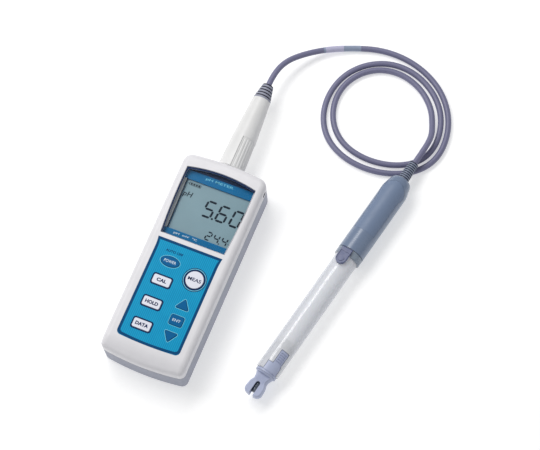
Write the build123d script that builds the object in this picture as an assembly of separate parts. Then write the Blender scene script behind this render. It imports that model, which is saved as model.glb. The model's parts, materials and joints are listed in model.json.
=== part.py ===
"""Handheld pH meter with a plug-in sensor: meter case, keypad, display, lead, electrode.

Millimetres. Origin at the centre of the meter's flat back, +Y towards the socket end,
+Z out of the display. The electrode lies beside the meter on the same surface.
"""
import os
from math import cos, degrees, pi, radians, sin, sqrt, tan

from build123d import *

# ---------------------------------------------------------------- driving dimensions
# meter case
case_length = 188.0
case_width_top = 75.4
case_width_low = 74.2
case_depth = 37.5
end_bulge = 3.0
corner_top = 8.0
corner_low = 5.3
front_round = 5.2
back_round = 1.6
wall = 2.4
face_thickness = 3.0
seam_low = 23.6
seam_high = 24.2
# the face is level between these lines and falls away beyond them
flat_low = -78.6
flat_high = 83.0
low_fall_radius = 25.0
high_fall_radius = 40.0
boss_radius = 3.2
board_post_radius = 2.6
strap_tunnel_at = (32.2, 87.3, 28.8)
strap_tunnel_turn = -49.0
strap_tunnel_size = (30.0, 3.4, 4.0)
case_screws_at = [(27.5, 85.5), (-27.5, 85.5), (27.5, -85.5), (-27.5, -85.5)]

# window and display stack, from the face downwards
window_top = 79.0
window_bottom = 16.4
window_half_top = 31.3
window_half_bottom = 29.1
window_arch = 3.8
window_bow = 0.8
lens_top = 36.7
lens_bottom = 35.2
bezel_top = 32.4
bezel_bottom = 30.8
glass_bottom = 28.4
display_left = -27.6
display_right = 30.6
display_low = 23.9
display_high = 70.5

# keypad
overlay_top = 37.4
overlay_bottom = 36.9
keypad_half = 28.0
keypad_flare = 0.9
keypad_top = 12.6
keypad_bottom = -77.4
keypad_arch = 1.2
keypad_corner = 4.0
key_top = 37.9
key_gap = 0.35
key_flange_top = 34.2
key_flange_bottom = 33.2
key_flange = 1.0
key_foot = 27.3
key_stem_radius = 2.2
left_keys_x = -10.7
right_keys_x = 14.4
# name, shape, centre x, centre y, width, height
key_table = [
    ("power", "oval", left_keys_x, -5.2, 16.4, 8.8),
    ("cal", "tablet", left_keys_x, -22.9, 15.4, 7.8),
    ("hold", "tablet", left_keys_x, -43.3, 15.4, 7.8),
    ("data", "tablet", left_keys_x, -63.5, 15.4, 7.8),
    ("meas", "round", right_keys_x, -12.5, 15.0, 15.0),
    ("up", "triangle", right_keys_x, -35.1, 11.6, 8.8),
    ("enter", "tablet", right_keys_x, -50.2, 11.2, 8.6),
    ("down", "triangle", right_keys_x, -65.1, 11.6, -8.8),
]

# main board
board_bottom = 24.4
board_top = 26.0
board_half = 33.0
board_end_low = -81.0
board_end_high = 80.0
board_screws_at = [(30.0, 8.0), (-30.0, 8.0), (30.0, -76.0), (-30.0, -76.0)]

# battery bay, two AA cells side by side
cell_radius = 7.15
cell_length = 50.5
cell_spacing = 7.75
cell_z = 10.3
bay_half = 15.6
bay_low = -85.5
bay_high = -27.0
bay_roof = 18.4
cover_half = 16.6
cover_high = -24.8
cover_thickness = 2.3
cover_lip_height = 9.0
cover_gap = 0.2

# socket and plug, on one axis parallel to Y
plug_z = 18.0
nose_radius = 7.6
nose_end = 104.0
plug_bore = 7.9
plug_start = 95.4
plug_waist = 126.0
plug_end = 165.8
plug_base_radius = 12.0
plug_waist_radius = 10.9
plug_end_radius = 8.1
plug_boot_end = 180.6
flute_depth = 0.35
flute_count = 12
flute_radius = 1.0
pin_count = 6
pin_circle = 3.6

# sensor: its axis leans across the surface beside the meter
sensor_x = 108.2
sensor_z = 11.8
sensor_lean = 12.3
handle_radius = 11.75
handle_start = 66.2
handle_shoulder = 131.0
handle_end = 146.0
probe_boot_end = 164.0
collar_start = 59.6
collar_end = 65.8
tube_radius = 10.3
tube_bore = 8.9
tube_start = -58.4
tube_end = 74.0
filler_y = 54.6
filler_tilt = -10.0
flap_hinge_y = 64.2
flap_width = 9.4
stem_radius = 3.0
glass_tip = -75.6
fork_end = -81.6
fork_radius = 8.0
fork_half_thickness = 4.6
fork_waist_radius = 6.3
fork_slot = 3.8
fork_slot_top = -71.0

# cable
cable_radius = 2.6
straight_exit = 12.5
# from the sensor's boot, twice round the loop, to the plug's boot
cable_route = [
    (148.2, 189.5, 9.6),
    (144.4, 203.0, 5.4),
    (137.5, 219.0, 2.9),
    (123.0, 233.0, 2.7),
    (103.0, 240.5, 2.7),
    (83.0, 238.5, 2.7),
    (66.5, 227.0, 2.7),
    (57.0, 209.0, 2.7),
    (57.0, 188.5, 2.7),
    (65.5, 170.0, 2.7),
    (81.0, 157.5, 2.7),
    (103.0, 152.5, 2.7),
    (126.0, 155.5, 2.7),
    (144.0, 165.5, 2.7),
    (152.5, 180.0, 2.7),
    (153.5, 199.0, 2.7),
    (146.5, 219.5, 2.7),
    (131.5, 236.0, 2.7),
    (111.0, 246.0, 2.7),
    (89.5, 247.0, 2.7),
    (69.5, 238.0, 2.7),
    (55.0, 221.5, 2.7),
    (49.0, 200.0, 2.7),
    (51.5, 178.0, 2.7),
    (62.5, 159.5, 2.7),
    (81.0, 148.0, 2.7),
    (104.0, 144.0, 2.7),
    (127.0, 147.5, 2.7),
    (146.5, 157.5, 2.7),
    (158.5, 173.5, 2.7),
    (160.8, 195.0, 2.7),
    (155.0, 217.0, 2.7),
    (141.5, 236.0, 2.7),
    (122.5, 249.0, 2.7),
    (100.0, 256.0, 2.7),
    (76.0, 256.0, 2.7),
    (52.5, 248.5, 3.0),
    (32.0, 238.0, 5.2),
    (16.5, 225.0, 9.6),
    (4.8, 210.0, 15.2),
]


# ---------------------------------------------------------------- shared helpers
def tube_between(radius, start, end):
    """Solid cylinder along Y on the axis x = 0, z = 0."""
    return Pos(0, start, 0) * Rot(-90, 0, 0) * Cylinder(
        radius, end - start, align=(Align.CENTER, Align.CENTER, Align.MIN)
    )


def turned(points):
    """Body of revolution about the Y axis from (radius, y) points."""
    outline = Polyline(*[(radius, y, 0) for radius, y in points], close=True)
    return revolve(make_face(outline), Axis.Y)


def slab(x_range, y_range, z_range):
    """Box from its corner ranges."""
    size = [high - low for low, high in (x_range, y_range, z_range)]
    middle = [(high + low) / 2 for low, high in (x_range, y_range, z_range)]
    return Pos(*middle) * Box(*size)


def post(radius, x, y, low, high):
    """Vertical cylinder."""
    return Pos(x, y, low) * Cylinder(
        radius, high - low, align=(Align.CENTER, Align.CENTER, Align.MIN)
    )


def prism(sketch, low, high):
    """Flat sketch raised between two heights."""
    return extrude(Pos(0, 0, low) * sketch, high - low)


def on_plug_axis(part):
    return Pos(0, 0, plug_z) * part


def on_sensor_axis(part):
    return Pos(sensor_x, 0, sensor_z) * Rot(0, 0, -sensor_lean) * part


def single(part):
    """The one solid of a result, without its wrapper."""
    return part.solids()[0] if len(part.solids()) == 1 else part


# ---------------------------------------------------------------- outlines
def case_outline(inset):
    half_top = case_width_top / 2 - inset
    half_low = case_width_low / 2 - inset
    half_length = case_length / 2 - inset
    shoulder = half_length - end_bulge
    edges = [
        Line((half_low, -shoulder), (half_top, shoulder)),
        ThreePointArc((half_top, shoulder), (0, half_length), (-half_top, shoulder)),
        Line((-half_top, shoulder), (-half_low, -shoulder)),
        ThreePointArc((-half_low, -shoulder), (0, -half_length), (half_low, -shoulder)),
    ]
    face = make_face(edges)
    face = fillet(face.vertices().sort_by(Axis.Y)[:2], corner_low - inset)
    return fillet(face.vertices().sort_by(Axis.Y)[-2:], corner_top - inset)


def crown(height):
    """Space under a face that is level in the middle and falls towards both ends."""
    reach = case_length / 2 + 1
    low_drop = low_fall_radius - sqrt(low_fall_radius**2 - (reach + flat_low) ** 2)
    high_drop = high_fall_radius - sqrt(high_fall_radius**2 - (reach - flat_high) ** 2)
    edges = [
        RadiusArc((-reach, height - low_drop), (flat_low, height), low_fall_radius),
        Line((flat_low, height), (flat_high, height)),
        RadiusArc((flat_high, height), (reach, height - high_drop), high_fall_radius),
        Line((reach, height - high_drop), (reach, 0)),
        Line((reach, 0), (-reach, 0)),
        Line((-reach, 0), (-reach, height - low_drop)),
    ]
    return extrude(Plane.YZ * make_face(edges), case_width_top, both=True)


def window_outline(grow):
    top = window_top + grow
    low = window_bottom - grow
    half_top = window_half_top + grow
    half_low = window_half_bottom + grow
    half_middle = (half_top + half_low) / 2 + window_bow
    middle = (top + low) / 2
    edges = [
        ThreePointArc((half_low, low), (half_middle, middle), (half_top, top)),
        ThreePointArc((half_top, top), (0, top + window_arch), (-half_top, top)),
        ThreePointArc((-half_top, top), (-half_middle, middle), (-half_low, low)),
        Line((-half_low, low), (half_low, low)),
    ]
    return make_face(edges)


def keypad_outline(shrink):
    half = keypad_half - shrink
    flare = half + keypad_flare
    top = keypad_top - shrink
    low = keypad_bottom + shrink
    straight_top = top - 9.0
    edges = [
        ThreePointArc((flare, top), (half + 0.2, top - 5.0), (half, straight_top)),
        Line((half, straight_top), (half, low)),
        ThreePointArc((half, low), (0, low - keypad_arch), (-half, low)),
        Line((-half, low), (-half, straight_top)),
        ThreePointArc((-half, straight_top), (-half - 0.2, top - 5.0), (-flare, top)),
        Line((-flare, top), (flare, top)),
    ]
    face = make_face(edges)
    return fillet(face.vertices().sort_by(Axis.Y)[:2], keypad_corner)


def key_outline(shape, width, height, grow):
    if shape == "oval":
        return Ellipse(width / 2 + grow, height / 2 + grow)
    if shape == "round":
        return Circle(width / 2 + grow)
    if shape == "tablet":
        return RectangleRounded(width + 2 * grow, height + 2 * grow, 1.4 + grow)
    half = width / 2
    tip = height / 2
    corners = [(-half, -tip), (half, -tip), (0, tip)]
    if tip < 0:
        corners.reverse()
    triangle = fillet(Polygon(*corners, align=None).vertices(), 0.7)
    if grow:
        triangle = offset(triangle, amount=grow)
    return triangle


# ---------------------------------------------------------------- meter case
def rear_block():
    """Outside of the rear case, with no hollows."""
    block = prism(case_outline(0), 0, seam_low)
    back_edges = block.edges().group_by(Axis.Z)[0]
    return fillet(back_edges, back_round)


def socket_hole():
    return on_plug_axis(tube_between(nose_radius + 0.1, 80, 100))


def front_block():
    """Outside of the front case, with no hollows: crowned face and rounded rim."""
    block = prism(case_outline(0), seam_high, case_depth + 1) & crown(case_depth)
    inside = case_outline(1).face()
    rim = []
    for edge in block.edges():
        middle = edge @ 0.5
        standing = abs((edge % 0.5).Z) > 0.8
        at_face = middle.Z > seam_high + front_round and not standing
        if at_face and not inside.is_inside(Vector(middle.X, middle.Y, 0)):
            rim.append(edge)
    return fillet(rim, front_round)


def front_case():
    roof = case_depth - face_thickness
    shell = front_block()
    shell -= prism(case_outline(wall), seam_high - 1, case_depth) & crown(roof)
    # solid corner that carries the wrist-strap tunnel
    strap_block = slab((24, 40), (80.5, 96), (seam_high, 32.0)) & prism(
        case_outline(0.5), seam_high, 32.0
    )
    strap_block -= slab((20, 31.5), (70, 83.4), (20, 33))
    shell += strap_block
    for x, y in case_screws_at:
        shell += post(boss_radius, x, y, seam_high, roof + 0.5)
    for x, y in board_screws_at:
        shell += post(board_post_radius, x, y, board_top, roof + 0.5)
    shell -= prism(window_outline(0), lens_bottom, case_depth + 1)
    shell -= prism(window_outline(-1.2), roof - 1, case_depth)
    shell -= prism(keypad_outline(0), overlay_bottom, case_depth + 1)
    for _, shape, x, y, width, height in key_table:
        shell -= Pos(x, y, 0) * prism(
            key_outline(shape, width, height, key_gap), roof - 1, case_depth
        )
    for x, y in case_screws_at:
        shell -= post(1.35, x, y, seam_high - 1, 32.0)
    for x, y in board_screws_at:
        shell -= post(0.9, x, y, board_top - 1, 32.0)
    tunnel = Pos(*strap_tunnel_at) * Rot(0, 0, strap_tunnel_turn) * Box(*strap_tunnel_size)
    shell -= tunnel
    return shell - socket_hole()


def cover_region(gap):
    """Space of the battery cover: a plate on the back and a lip up the end."""
    plate = slab(
        (-cover_half - gap, cover_half + gap),
        (-100, cover_high + gap),
        (-1, cover_thickness + gap),
    )
    lip = slab(
        (-cover_half - gap, cover_half + gap),
        (-100, -case_length / 2 + wall + gap),
        (-1, cover_lip_height + gap),
    )
    return plate + lip


def cover_tongues(gap, extra):
    """Side tongues of the cover, or with a gap their grooves."""
    tongues = []
    for side in (-1, 1):
        edge = side * (cover_half + 0.6)
        tongues.append(
            slab(
                (edge - 1.4 - gap, edge + 1.4 + gap),
                (-60 - extra - gap, -30 + gap),
                (0.9 - gap, 1.8 + gap),
            )
        )
    return tongues[0] + tongues[1]


def battery_cover():
    cover = rear_block() & cover_region(0)
    cover += cover_tongues(0, 0)
    arrow = Polygon((-4, 4), (4, 4), (0, -4), align=None)
    cover -= Pos(0, -80, 0) * prism(arrow, -1, 0.6)
    for step in range(5):
        y = -70.5 + 2.2 * step
        cover -= slab((-9, 9), (y, y + 1.0), (-1, 0.6))
    return cover


def rear_case():
    shell = rear_block() - prism(case_outline(wall), wall, seam_low + 1)
    block = slab(
        (-bay_half - 3.2, bay_half + 3.2), (-91.9, bay_high + 1.6), (0.5, bay_roof + 1.6)
    )
    shell += block & prism(case_outline(1), 0, seam_low)
    shell += slab((-bay_half - 3.2, bay_half + 3.2), (bay_high, -22.0), (0.5, 4.0))
    for x, y in case_screws_at:
        shell += post(boss_radius, x, y, 0.5, seam_low)
    shell -= slab((-bay_half, bay_half), (bay_low, bay_high), (-1, bay_roof))
    shell -= cover_region(cover_gap)
    shell -= cover_tongues(cover_gap, 13.0)
    for x, y in case_screws_at:
        shell -= post(2.8, x, y, -1, 3.2)
        shell -= post(1.5, x, y, 0, seam_low + 1)
    return shell - socket_hole()


def case_seal():
    seal = prism(case_outline(0.8), seam_low, seam_high)
    seal -= prism(case_outline(2.2), seam_low - 1, seam_high + 1)
    return seal - socket_hole()


def case_screws():
    screws = []
    for x, y in case_screws_at:
        head = post(2.6, x, y, 1.2, 3.2) - Pos(x, y, 1.2) * Box(0.8, 3.6, 1.6)
        head -= Pos(x, y, 1.2) * Box(3.6, 0.8, 1.6)
        screws.append(head + post(1.3, x, y, 3.2, 31.0))
    return Compound(children=[single(screw) for screw in screws])


# ---------------------------------------------------------------- display stack
def window_lens():
    lens = prism(window_outline(-0.1), lens_bottom, lens_top)
    return chamfer(lens.edges().group_by(Axis.Z)[-1], 0.25)


def window_seal():
    roof = case_depth - face_thickness
    seal = prism(window_outline(1.0), bezel_top, roof)
    return seal - prism(window_outline(-0.6), bezel_top - 1, roof + 1)


def lcd_bezel():
    bezel = prism(window_outline(1.0), bezel_bottom, bezel_top)
    opening = Polygon(
        (display_left + 1.6, display_low),
        (display_right, display_low),
        (display_right, display_high),
        (display_left, display_high),
        align=None,
    )
    return bezel - prism(opening, bezel_bottom - 1, bezel_top + 1)


def lcd_panel():
    rear_glass = slab((-29.6, 32.0), (20.0, 73.6), (glass_bottom, bezel_bottom - 1.1))
    front_glass = slab((-29.6, 32.0), (21.6, 73.6), (bezel_bottom - 1.1, bezel_bottom))
    return rear_glass + front_glass


def lcd_tray():
    tray = slab((-32.2, 33.6), (16.0, 76.5), (board_top, bezel_bottom))
    tray -= slab((-29.8, 32.2), (19.8, 73.8), (board_top - 1, bezel_bottom + 1))
    return tray


def lcd_connector_strips():
    low = slab((-27.0, 29.4), (20.4, 22.4), (board_top, glass_bottom))
    high = slab((-27.0, 29.4), (71.0, 73.0), (board_top, glass_bottom))
    return Compound(children=[low, high])


# ---------------------------------------------------------------- keypad
def keypad_overlay():
    film = prism(keypad_outline(0.15), overlay_bottom, overlay_top)
    for _, shape, x, y, width, height in key_table:
        film -= Pos(x, y, 0) * prism(
            key_outline(shape, width, height, key_gap), overlay_bottom - 1, overlay_top + 1
        )
    return film


def key(shape, x, y, width, height):
    cap = prism(key_outline(shape, width, height, 0), key_flange_top - 0.1, key_top)
    cap = fillet(cap.edges().group_by(Axis.Z)[-1], 0.3)
    cap += prism(
        key_outline(shape, width, height, key_flange), key_flange_bottom, key_flange_top
    )
    stem = post(key_stem_radius, 0, 0, key_foot, key_flange_bottom + 0.5)
    return Pos(x, y, 0) * (cap + stem)


def key_domes():
    domes = []
    for _, _, x, y, _, _ in key_table:
        base = post(3.0, x, y, board_top, board_top + 0.3)
        domes.append(single(base + post(1.8, x, y, board_top, board_top + 0.6)))
    return Compound(children=domes)


# ---------------------------------------------------------------- electronics
def main_board():
    board = slab(
        (-board_half, board_half), (board_end_low, board_end_high), (board_bottom, board_top)
    )
    board = fillet(board.edges().filter_by(Axis.Z), 2.0)
    for x, y in board_screws_at:
        board -= post(1.1, x, y, board_bottom - 1, board_top + 1)
    return board


def board_screws():
    screws = []
    for x, y in board_screws_at:
        head = post(1.9, x, y, board_bottom - 1.2, board_bottom)
        screws.append(single(head + post(0.85, x, y, board_bottom - 0.1, 31.0)))
    return Compound(children=screws)


def processor_chip():
    chip = slab((-9, 3), (-6, 6), (board_bottom - 1.6, board_bottom - 0.2))
    chip = chamfer(chip.edges().group_by(Axis.Z)[0], 0.2)
    for step in range(8):
        along = -5.0 + step * 1.43
        foot = (board_bottom - 0.4, board_bottom)
        chip += slab((-10, 4), (along - 0.2, along + 0.2), foot)
        chip += slab((along - 3.2, along - 2.8), (-7, 7), foot)
    return chip


def amplifier_shield():
    can = slab((-12, 12), (52, 74), (board_bottom - 4.0, board_bottom))
    can = fillet(can.edges().group_by(Axis.Z)[0], 0.6)
    return can - slab((-11.6, 11.6), (52.4, 73.6), (board_bottom - 3.6, board_bottom + 1))


def buzzer():
    can = post(6.0, 20, 34, board_bottom - 4.2, board_bottom)
    return can - post(1.0, 20, 34, board_bottom - 5, board_bottom - 3)


def board_capacitors():
    places = [(-20, 20), (-20, 30), (22, 12)]
    return Compound(
        children=[post(2.5, x, y, board_bottom - 5.4, board_bottom) for x, y in places]
    )


# ---------------------------------------------------------------- battery bay
def cell(x, direction):
    """AA cell along Y; direction is the way its positive cap points."""
    can = tube_between(cell_radius, 0, cell_length - 1.2)
    can = fillet(can.edges(), 0.7)
    body = can + tube_between(2.75, cell_length - 2, cell_length)
    middle = (bay_low + bay_high) / 2
    body = Pos(0, -cell_length / 2, 0) * body
    if direction < 0:
        body = Rot(0, 0, 180) * body
    return Pos(x, middle, cell_z) * body


def batteries():
    pair = [single(cell(-cell_spacing, 1)), single(cell(cell_spacing, -1))]
    return Compound(children=pair)


def contact_leaf(x, wall_y, toward):
    """Bent strip that presses on a cell's end."""
    reach = (bay_high - bay_low - cell_length) / 2
    plate = slab((x - 4.5, x + 4.5), (0, 0.5), (cell_z - 5.5, cell_z + 5.5))
    plate = Pos(0, wall_y if toward > 0 else wall_y - 0.5, 0) * plate
    bend = Polygon(
        (0.3, -4.6), (reach - 0.5, -0.8), (reach - 0.1, 0), (reach - 0.5, 0.8), (0.3, 4.6),
        (0.3, 3.9), (reach - 1.0, 0), (0.3, -3.9), align=None,
    )
    leaf = extrude(Plane.YZ * bend, 2.5, both=True)
    if toward < 0:
        leaf = mirror(leaf, Plane.XZ)
    return plate + Pos(x, wall_y, cell_z) * leaf


def battery_contacts():
    places = [(-cell_spacing, 1), (cell_spacing, 1), (-cell_spacing, -1), (cell_spacing, -1)]
    leaves = []
    for x, toward in places:
        wall_y = bay_low if toward > 0 else bay_high
        leaves.append(single(contact_leaf(x, wall_y, toward)))
    return Compound(children=leaves)


# ---------------------------------------------------------------- socket
def pin_places():
    return [
        (pin_circle * cos(2 * pi * step / pin_count), pin_circle * sin(2 * pi * step / pin_count))
        for step in range(pin_count)
    ]


def socket_shell():
    shell = turned(
        [
            (6.05, 84.0), (7.0, 84.0), (7.0, 88.8), (9.6, 88.8), (9.6, 91.0),
            (nose_radius, 91.0), (nose_radius, 98.0), (6.6, 98.0), (6.6, 99.6),
            (nose_radius, 99.6), (nose_radius, nose_end - 0.6), (nose_radius - 0.6, nose_end),
            (6.05, nose_end),
        ]
    )
    return on_plug_axis(shell)


def socket_insert():
    insert = tube_between(6.0, 85.0, 103.0)
    for x, z in pin_places():
        insert -= Pos(x, 0, z) * tube_between(0.95, 90.5, 104)
        insert -= Pos(x, 0, z) * tube_between(0.45, 84, 91)
    return on_plug_axis(insert)


def socket_contacts():
    tails = [Pos(x, 0, z) * tube_between(0.4, 81.0, 89.5) for x, z in pin_places()]
    return Compound(children=[on_plug_axis(tail) for tail in tails])


def socket_seal():
    outside = plug_bore - 0.05
    seal = turned([(6.62, 98.1), (outside, 98.1), (outside, 99.5), (6.62, 99.5)])
    return on_plug_axis(seal)


# ---------------------------------------------------------------- plug
def plug_radius_at(y):
    if y <= plug_waist:
        share = (y - plug_start) / (plug_waist - plug_start)
        return plug_base_radius + share * (plug_waist_radius - plug_base_radius)
    share = (y - plug_waist) / (plug_end - plug_waist)
    return plug_waist_radius + share * (plug_end_radius - plug_waist_radius)


def plug_skin(depth):
    """Outer layer of the plug's base half, from a depth below its surface."""
    low = plug_start - 1
    return turned(
        [
            (plug_radius_at(low) - depth, low), (plug_base_radius + 1, low),
            (plug_base_radius + 1, plug_waist), (plug_waist_radius - depth, plug_waist),
        ]
    )


def plug_body():
    body = turned(
        [
            (plug_bore, plug_start), (plug_base_radius - 0.5, plug_start),
            (plug_base_radius, plug_start + 0.6), (plug_waist_radius, plug_waist),
            (plug_end_radius, plug_end - 0.4), (plug_end_radius - 0.4, plug_end),
            (3.2, plug_end), (3.2, 141.0), (6.4, 137.0), (6.4, 119.0), (plug_bore, 119.0),
        ]
    )
    # one half is set back for the fingers, behind a deeper line, and fluted lengthwise
    body -= plug_skin(flute_depth) & slab((0.9, 20), (90, plug_waist - 1), (-20, 20))
    body -= plug_skin(2.4 * flute_depth) & slab((0.3, 0.9), (90, plug_waist - 1), (0, 20))
    flute_length = plug_waist - plug_start - 3
    taper = (plug_base_radius - plug_waist_radius) / (plug_waist - plug_start)
    middle = plug_start + 1 + flute_length / 2
    for step in range(flute_count):
        angle = 12 + step * 156 / (flute_count - 1)
        cutter = Pos(0, middle, plug_radius_at(middle) + 0.35) * (
            Rot(90 - degrees(taper), 0, 0) * Cylinder(flute_radius, flute_length)
        )
        body -= Rot(0, angle, 0) * cutter
    return on_plug_axis(body)


def plug_insert():
    insert = tube_between(plug_bore - 0.1, 105.0, 118.8)
    for x, z in pin_places():
        insert -= Pos(x, 0, z) * tube_between(0.55, 104, 120)
    return on_plug_axis(insert)


def plug_pins():
    pins = []
    for x, z in pin_places():
        pin = Pos(x, 0, z) * tube_between(0.5, 93.0, 122.0)
        pins.append(on_plug_axis(pin))
    return Compound(children=pins)


def plug_seal():
    seal = turned([(8.4, 94.35), (10.4, 94.35), (10.4, plug_start), (8.4, plug_start)])
    return on_plug_axis(seal)


def ribbed_boot(start, end, start_radius, end_radius, rings, depth, hole):
    """Tapered strain relief with a groove behind each ring."""
    pitch = (end - start) / rings
    points = [(hole, start)]
    for ring in range(rings):
        low = start + ring * pitch
        share = ring / rings
        radius = start_radius + share * (end_radius - start_radius)
        groove = low + pitch * 0.55
        points += [(radius, low), (radius - 0.1, groove)]
        points += [(radius - depth, groove + 0.1), (radius - depth, low + pitch - 0.1)]
    points += [(end_radius, end - 0.05), (end_radius, end), (hole, end)]
    return turned(points)


def plug_boot():
    boot = ribbed_boot(plug_end, plug_boot_end, 7.9, 4.8, 5, 1.6, cable_radius + 0.05)
    return on_plug_axis(boot)


# ---------------------------------------------------------------- cable
def sensor_point(y):
    """Point on the sensor's axis at a distance along it, in the row frame."""
    lean = radians(sensor_lean)
    return (sensor_x + y * sin(lean), y * cos(lean), sensor_z)


def route_radii(points):
    """Largest radius that each corner's two runs allow."""
    radii = []
    for before, corner, after in zip(points, points[1:], points[2:]):
        run_in = Vector(*corner) - Vector(*before)
        run_out = Vector(*after) - Vector(*corner)
        turn = radians(run_in.get_angle(run_out))
        shorter = min(run_in.length, run_out.length)
        radii.append(0.45 * shorter / tan(turn / 2))
    return radii


def sensor_cable():
    points = [sensor_point(probe_boot_end), sensor_point(probe_boot_end + straight_exit)]
    points += cable_route
    points += [(0, plug_boot_end + straight_exit, plug_z), (0, plug_boot_end, plug_z)]
    radii = route_radii(points)
    path = FilletPolyline(*points, radius=radii)
    start = Plane(origin=path @ 0, z_dir=path % 0)
    tube = sweep(start * Circle(cable_radius), path=path)
    section = pi * cable_radius**2
    print("cable radii", [round(radius) for radius in radii])
    print("cable length", round(path.length, 1))
    print("volume over section times length", round(tube.volume / (section * path.length), 4))
    return tube


def cable_ends():
    """The cable's two ends, inside the plug and inside the sensor's handle."""
    at_plug = on_plug_axis(tube_between(cable_radius, 143.0, plug_boot_end))
    at_sensor = on_sensor_axis(tube_between(cable_radius, 122.0, probe_boot_end))
    return Compound(children=[at_plug, at_sensor])


# ---------------------------------------------------------------- sensor
def grip_region(grow):
    """Rounded tongue, seen from above, that the soft grip pad covers."""
    half = 9.6 + grow
    straight = handle_end - 22.0
    edges = [
        Line((-half, 86.0 - grow), (half, 86.0 - grow)),
        Line((half, 86.0 - grow), (half, straight)),
        ThreePointArc((half, straight), (0, straight + 15.5 + grow), (-half, straight)),
        Line((-half, straight), (-half, 86.0 - grow)),
    ]
    return prism(make_face(edges), 1.0, 14.0)


def handle_outside(shrink):
    radius = handle_radius - shrink
    shoulder_arc = Spline(
        [
            (radius, handle_shoulder), (10.2 - shrink, handle_end - 6.5),
            (6.4 - shrink, handle_end - shrink),
        ],
        tangents=[(0, 1), (-1.2, 0.4)],
    )
    edges = [
        Line((0, handle_start), (radius, handle_start)),
        Line((radius, handle_start), (radius, handle_shoulder)),
        shoulder_arc,
        Line((6.4 - shrink, handle_end - shrink), (0, handle_end - shrink)),
        Line((0, handle_end - shrink), (0, handle_start)),
    ]
    return revolve(make_face(edges), Axis.Y)


def probe_handle():
    handle = handle_outside(0)
    recess = (handle_outside(-1) - handle_outside(0.7)) & grip_region(0)
    handle -= recess
    handle -= tube_between(tube_radius + 0.05, handle_start - 1, tube_end + 0.2)
    handle -= tube_between(8.6, tube_end, 134.0)
    handle -= tube_between(cable_radius + 0.1, 133.0, 160.0)
    return on_sensor_axis(handle)


def handle_grip_pad():
    pad = (handle_outside(0.12) - handle_outside(0.7)) & grip_region(-0.1)
    return on_sensor_axis(pad)


def probe_boot():
    boot = ribbed_boot(handle_end, probe_boot_end, 5.1, 4.1, 9, 0.9, cable_radius + 0.05)
    return on_sensor_axis(boot)


def cable_clamp():
    inside = cable_radius + 0.02
    clamp = turned([(inside, 126), (4.2, 126), (4.2, 131), (inside, 131)])
    return on_sensor_axis(clamp)


def terminal_board():
    board = slab((-6.5, 6.5), (86, 118), (-0.6, 0.6))
    return on_sensor_axis(board)


def bulkhead():
    disc = tube_between(tube_bore - 0.05, 64.0, 72.0)
    disc -= tube_between(stem_radius + 0.05, 63.0, 73.0)
    return on_sensor_axis(disc)


def reservoir_seal():
    inside = stem_radius + 0.1
    seal = turned([(inside, 62.4), (4.8, 62.4), (4.8, 64.0), (inside, 64.0)])
    return on_sensor_axis(seal)


def collar():
    ring = turned(
        [
            (tube_radius + 0.1, collar_start), (handle_radius - 0.4, collar_start),
            (handle_radius, collar_start + 0.4), (handle_radius, collar_end - 0.2),
            (handle_radius - 0.2, collar_end), (tube_radius + 0.1, collar_end),
        ]
    )
    half = flap_width / 2 + 0.35
    notch = slab((-half, half), (collar_start - 1, collar_end + 1), (4, 16))
    notch = Rot(0, filler_tilt, 0) * notch
    return on_sensor_axis(ring - notch)


def tube_cutout(gap):
    """Stepped window at the tube's tip end, open at the rim."""
    step = slab((-3.2 + gap, 9.0 - gap), (tube_start - 5, -50.5 - gap), (3.4, 14))
    latch = slab((1.2 + gap, 8.4 - gap), (tube_start - 5, -37.4 - gap), (3.4, 14))
    return step + latch


def reservoir_tube():
    tube = turned(
        [
            (tube_bore, tube_start), (tube_radius - 0.9, tube_start),
            (tube_radius, tube_start + 0.9), (tube_radius, tube_end), (tube_bore, tube_end),
        ]
    )
    tube -= Rot(0, filler_tilt, 0) * post(3.3, 0, filler_y, 6, 14)
    return on_sensor_axis(tube - tube_cutout(0))


def inner_sleeve():
    sleeve = turned([(5.4, -27.0), (6.6, -27.0), (6.6, 62.0), (5.4, 62.0)])
    return on_sensor_axis(sleeve)


def reference_element():
    """Chloride-coated silver coil, a plain rod, beside the sleeve in the electrolyte."""
    return on_sensor_axis(Rot(0, 200, 0) * Pos(0, 0, 7.75) * tube_between(0.7, 8.0, 60.0))


def glass_electrode():
    wall_thickness = 0.7
    outside = tube_between(stem_radius, glass_tip, 80.0)
    outside += Pos(0, glass_tip, 0) * Sphere(stem_radius)
    inside = tube_between(stem_radius - wall_thickness, glass_tip, 81.0)
    inside += Pos(0, glass_tip, 0) * Sphere(stem_radius - wall_thickness)
    return on_sensor_axis(outside - inside)


def silver_wire():
    return on_sensor_axis(Pos(-0.9, 0, 0) * tube_between(0.35, glass_tip + 1.5, 84.0))


def thermistor():
    bead = Pos(1.0, 0, 0) * tube_between(0.8, glass_tip + 1.0, -69.0)
    lead = Pos(1.0, 0, 0) * tube_between(0.3, -69.1, 84.0)
    return on_sensor_axis(bead + lead)


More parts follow.
